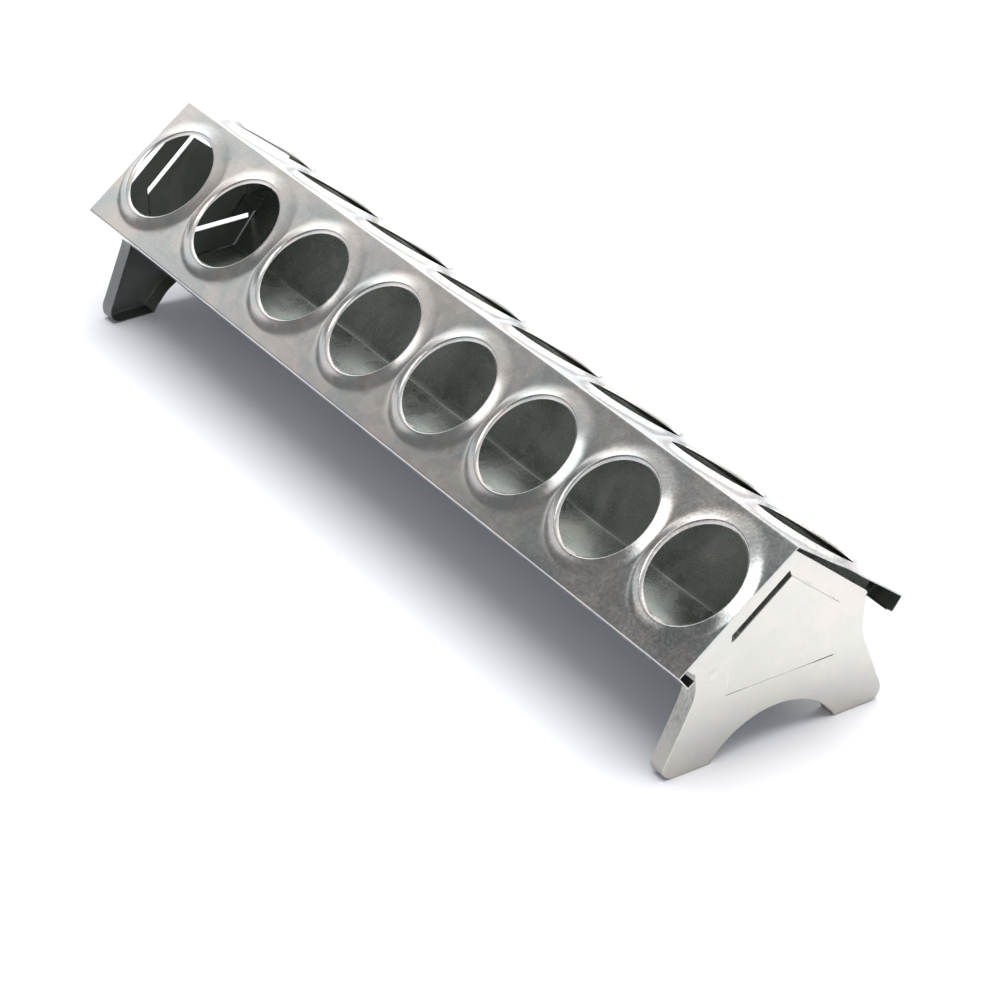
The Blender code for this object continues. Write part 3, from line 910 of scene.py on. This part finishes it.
def cover_spangle_and_painted_light(nodes, where):
    """Cover: painted light, paler towards the far end and darker towards the near end, and bolder spangle
    towards the near end.
    """
    x = nodes.part(where, 0)
    spangle = nodes.noise(where, SPANGLE_SCALE, detail=3.0, roughness=0.65) - 0.5
    spangle = spangle * x.step(*NEAR_SPANGLE_FADE) * NEAR_SPANGLE
    # Painted reflection: lighter at the far end, darker towards the near end
    return (spangle + 1) * (FAR_COVER_LIGHT - x.step(*NEAR_COVER_SHADE_FADE) * NEAR_COVER_SHADE)


def trough_painted_shade(nodes, where):
    """Painted shade on the trough: darker towards the far end."""
    return nodes.part(where, 0).step(*TROUGH_SHADE_FADE) * (1 - FAR_TROUGH_SHADE) + FAR_TROUGH_SHADE


def galvanised(name, painted_light_and_marks=None):
    """Zinc-coated steel: crystal-like spangle, cloudy patches, rolling streaks along X and fine specks."""
    looks = COATINGS[name]
    material = bpy.data.materials.new(name)
    material.use_nodes = True
    nodes = Nodes(material.node_tree)
    where = nodes.place()
    wander = nodes.node("TexNoise", output="Color", Vector=where, Scale=WANDER_SCALE)
    warped = nodes.vector("ADD", where, nodes.vector("MULTIPLY", wander, (WANDER_REACH,) * 3))
    crystal = nodes.node("TexVoronoi", output="Color", Vector=warped, Scale=CRYSTAL_SCALE)
    crystal = nodes.node("SeparateColor", Color=crystal)
    specks = nodes.noise(where, SPECK_SCALE, detail=4.0, roughness=0.7)
    clouds = nodes.noise(where, CLOUD_SCALE, detail=4.0, roughness=0.6, distortion=0.6)
    bend = nodes.noise(where, BEND_SCALE, detail=2.0)
    streaks = nodes.noise(nodes.place(scale=STREAK_SCALE), 1.0, detail=3.0)
    speck_weight, cloud_weight = looks["pattern"]
    level = (crystal - 0.5) * CRYSTAL_WEIGHT + (specks - 0.5) * speck_weight + (clouds - 0.5) * cloud_weight
    level = level + (streaks - 0.5) * STREAK_WEIGHT
    level = (level * looks["mottle"] + 1.0) * looks["tone"]
    # Painted light and shade, with the cover's spangle, scale the level here
    if painted_light_and_marks:
        level = level * painted_light_and_marks(nodes, where)
    cool, warm = looks["colors"]
    lean = PATCH_LEAN * looks["warm"]
    patches = clouds * (1 - BEND_SHARE) + bend * BEND_SHARE
    patches = patches.step(PATCH_FROM - lean, PATCH_TO - lean)
    shade = nodes.node("CombineColor", Red=level, Green=level, Blue=level)
    rough = (specks - 0.5) * SPECK_ROUGHNESS + (crystal - 0.5) * CRYSTAL_ROUGHNESS
    rough = rough + (clouds - 0.5) * CLOUD_ROUGHNESS + looks["rough"]
    grain = specks * (1 - STREAK_SHARE) + streaks * STREAK_SHARE
    finish_surface(material, {
        "Base Color": nodes.mix(1.0, nodes.mix(patches, cool, warm), shade, "MULTIPLY"),
        "Roughness": rough,
        "Metallic": METALLIC,
        "Normal": nodes.node("Bump", Height=grain, Strength=looks["grain"], Distance=GRAIN_HEIGHT),
    })
    return material


# Studio: floor, ceiling that only reflections see, world, lamp and camera

STAGE_SIZE = 12.0
FLOOR_COLOR = (0.84, 0.85, 0.885)
CEILING_HEIGHT = 1.0
CEILING_COLOR = (1.0, 0.985, 0.97)
CEILING_LIGHT = 0.20
PANEL_LIGHT = 2.3
LEFT_LIGHT = 0.8
RIGHT_LIGHT = 1.0
FILL_COLOR = (0.89, 0.90, 1.0)
FILL_STRENGTH = 0.41
WHITE = (1.0, 1.0, 1.0)
LAMP_PLACE = (0.05, 0.25, 2.2)
LAMP_SIZE = 2.6
LAMP_POWER = 87.0
LAMP_COLOR = (1.0, 0.985, 0.965)
CAMERA_PLACE = (1.30939, -0.89239, 0.96804)
CAMERA_RIGHT = (0.56252028, 0.82654474, 0.01986775)
CAMERA_DOWN = (0.44160741, -0.28005532, -0.85238015)
CAMERA_FORWARD = (-0.69896626, 0.48825486, -0.52254508)
CAMERA_LENS = 140.75
CAMERA_SENSOR = 36.0
CAMERA_SIGHT = 50.0


def stage_plane(name, z, material):
    """A square of the studio, centred under the feeder."""
    half = STAGE_SIZE / 2
    corners = [(-half, -half, z), (half, -half, z), (half, half, z), (-half, half, z)]
    mesh = bpy.data.meshes.new(name)
    mesh.from_pydata(corners, [], [(0, 1, 2, 3)])
    mesh.materials.append(material)
    plane = bpy.data.objects.new(name, mesh)
    bpy.context.scene.collection.objects.link(plane)
    return plane


def floor_material():
    """Plain pale floor."""
    material = bpy.data.materials.new("studio_floor")
    material.use_nodes = True
    finish = {"Base Color": (*FLOOR_COLOR, 1.0), "Roughness": 0.9, "Specular IOR Level": 0.2}
    finish_surface(material, finish)
    return material


def ceiling_material():
    """What polished metal sees overhead: a dim ceiling with soft lights in it.

    Each light is made of smooth steps from one place to another, in metres: a panel on the near slope's
    side, a light that grows in three steps towards the back, one on the left that is weaker far out, and
    one on the right.
    """
    material = bpy.data.materials.new("studio_ceiling")
    nodes = emptied(material)
    where = nodes.node("TexCoord", output="Object")
    x, y = nodes.part(where, 0), nodes.part(where, 1)
    panel = x.step(-0.17, 0.08) * x.step(0.75, 0.45) * y.step(-1.05, -0.75) * y.step(0.10, -0.15)
    back = y.step(-0.62, -0.25) * 0.30 + y.step(-0.25, 0.05) * 0.22 + y.step(0.25, 0.75) * 1.1
    left = x.step(-0.80, -1.80) * (1 - x.step(-2.4, -3.4) * 0.6) * y.step(-1.30, -0.75)
    right = x.step(0.9, 1.5)
    level = panel * PANEL_LIGHT + back + left * LEFT_LIGHT + right * RIGHT_LIGHT + CEILING_LIGHT
    shade = nodes.node("CombineColor", Red=level, Green=level, Blue=level)
    glow = nodes.node("Emission", Color=nodes.mix(1.0, CEILING_COLOR, shade, "MULTIPLY"), Strength=1.0)
    nodes.node("OutputMaterial", Surface=glow)
    return material


def set_world():
    """White to the eye and in reflections, a softer cool fill on everything else."""
    world = bpy.data.worlds.new("studio")
    bpy.context.scene.world = world
    nodes = emptied(world)
    seen = nodes.node("LightPath", output="Is Camera Ray")
    for name in ("Is Glossy Ray", "Is Transmission Ray"):
        seen = seen.math("MAXIMUM", nodes.node("LightPath", output=name))
    fill = nodes.node("Background", Color=(*FILL_COLOR, 1.0), Strength=FILL_STRENGTH)
    white = nodes.node("Background", Color=(*WHITE, 1.0), Strength=1.0)
    both = add_node(nodes.tree, "MixShader", values={0: seen, 1: fill, 2: white})
    nodes.node("OutputWorld", Surface=both)


def soft_lamp(name):
    """A square soft lamp that looks at the feeder's middle and stays out of the metal's reflections."""
    data = bpy.data.lights.new(name, "AREA")
    data.shape = "SQUARE"
    data.size = LAMP_SIZE
    data.energy = LAMP_POWER
    data.color = LAMP_COLOR
    lamp = bpy.data.objects.new(name, data)
    lamp.location = LAMP_PLACE
    lamp.rotation_euler = (-Vector(LAMP_PLACE)).to_track_quat("-Z", "Y").to_euler()
    lamp.visible_glossy = False
    bpy.context.scene.collection.objects.link(lamp)


def set_camera():
    """The photograph's camera, solved from the feeder's own edges."""
    data = bpy.data.cameras.new("camera")
    data.lens = CAMERA_LENS
    data.sensor_width = CAMERA_SENSOR
    data.clip_end = CAMERA_SIGHT
    camera = bpy.data.objects.new("camera", data)
    turn = Matrix((CAMERA_RIGHT, -Vector(CAMERA_DOWN), -Vector(CAMERA_FORWARD))).transposed()
    camera.matrix_world = Matrix.Translation(CAMERA_PLACE) @ turn.to_4x4()
    bpy.context.scene.collection.objects.link(camera)
    bpy.context.scene.camera = camera


def make_pieces():
    """Every shown piece, with its inside's material, its painted light and shade with marks, and the CAD
    node and body it stands for.
    """
    cover = make_cover()
    trough = make_trough()
    near_plate = make_plate("near_end_plate", NEAR_PANEL, 0.0)
    far_plate = make_plate("far_end_plate", FAR_PANEL, math.pi)
    pieces = (
        (cover, "cover_inside", cover_spangle_and_painted_light, "cover", "cover"),
        (trough, "trough_underside", trough_painted_shade, "trough", "base"),
        (near_plate, "near_plate_inside", near_plate_painted_shade, "end_plate_near", "base"),
        (far_plate, "far_plate_inside", None, "end_plate_far", "base"),
    )
    for piece, inside, painted_light_and_marks, node, body in pieces:
        piece.data.materials.append(galvanised(piece.name, painted_light_and_marks))
        piece.data.materials.append(galvanised(inside))
        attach(piece, body)
        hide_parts(node)


make_pieces()
set_camera()
set_world()
stage_plane("studio_floor", 0.0, floor_material())
ceiling = stage_plane("studio_ceiling", CEILING_HEIGHT, ceiling_material())
ceiling.visible_camera = False
ceiling.visible_diffuse = False
ceiling.visible_shadow = False
soft_lamp("top_lamp")
bpy.context.scene.view_settings.view_transform = "Standard"
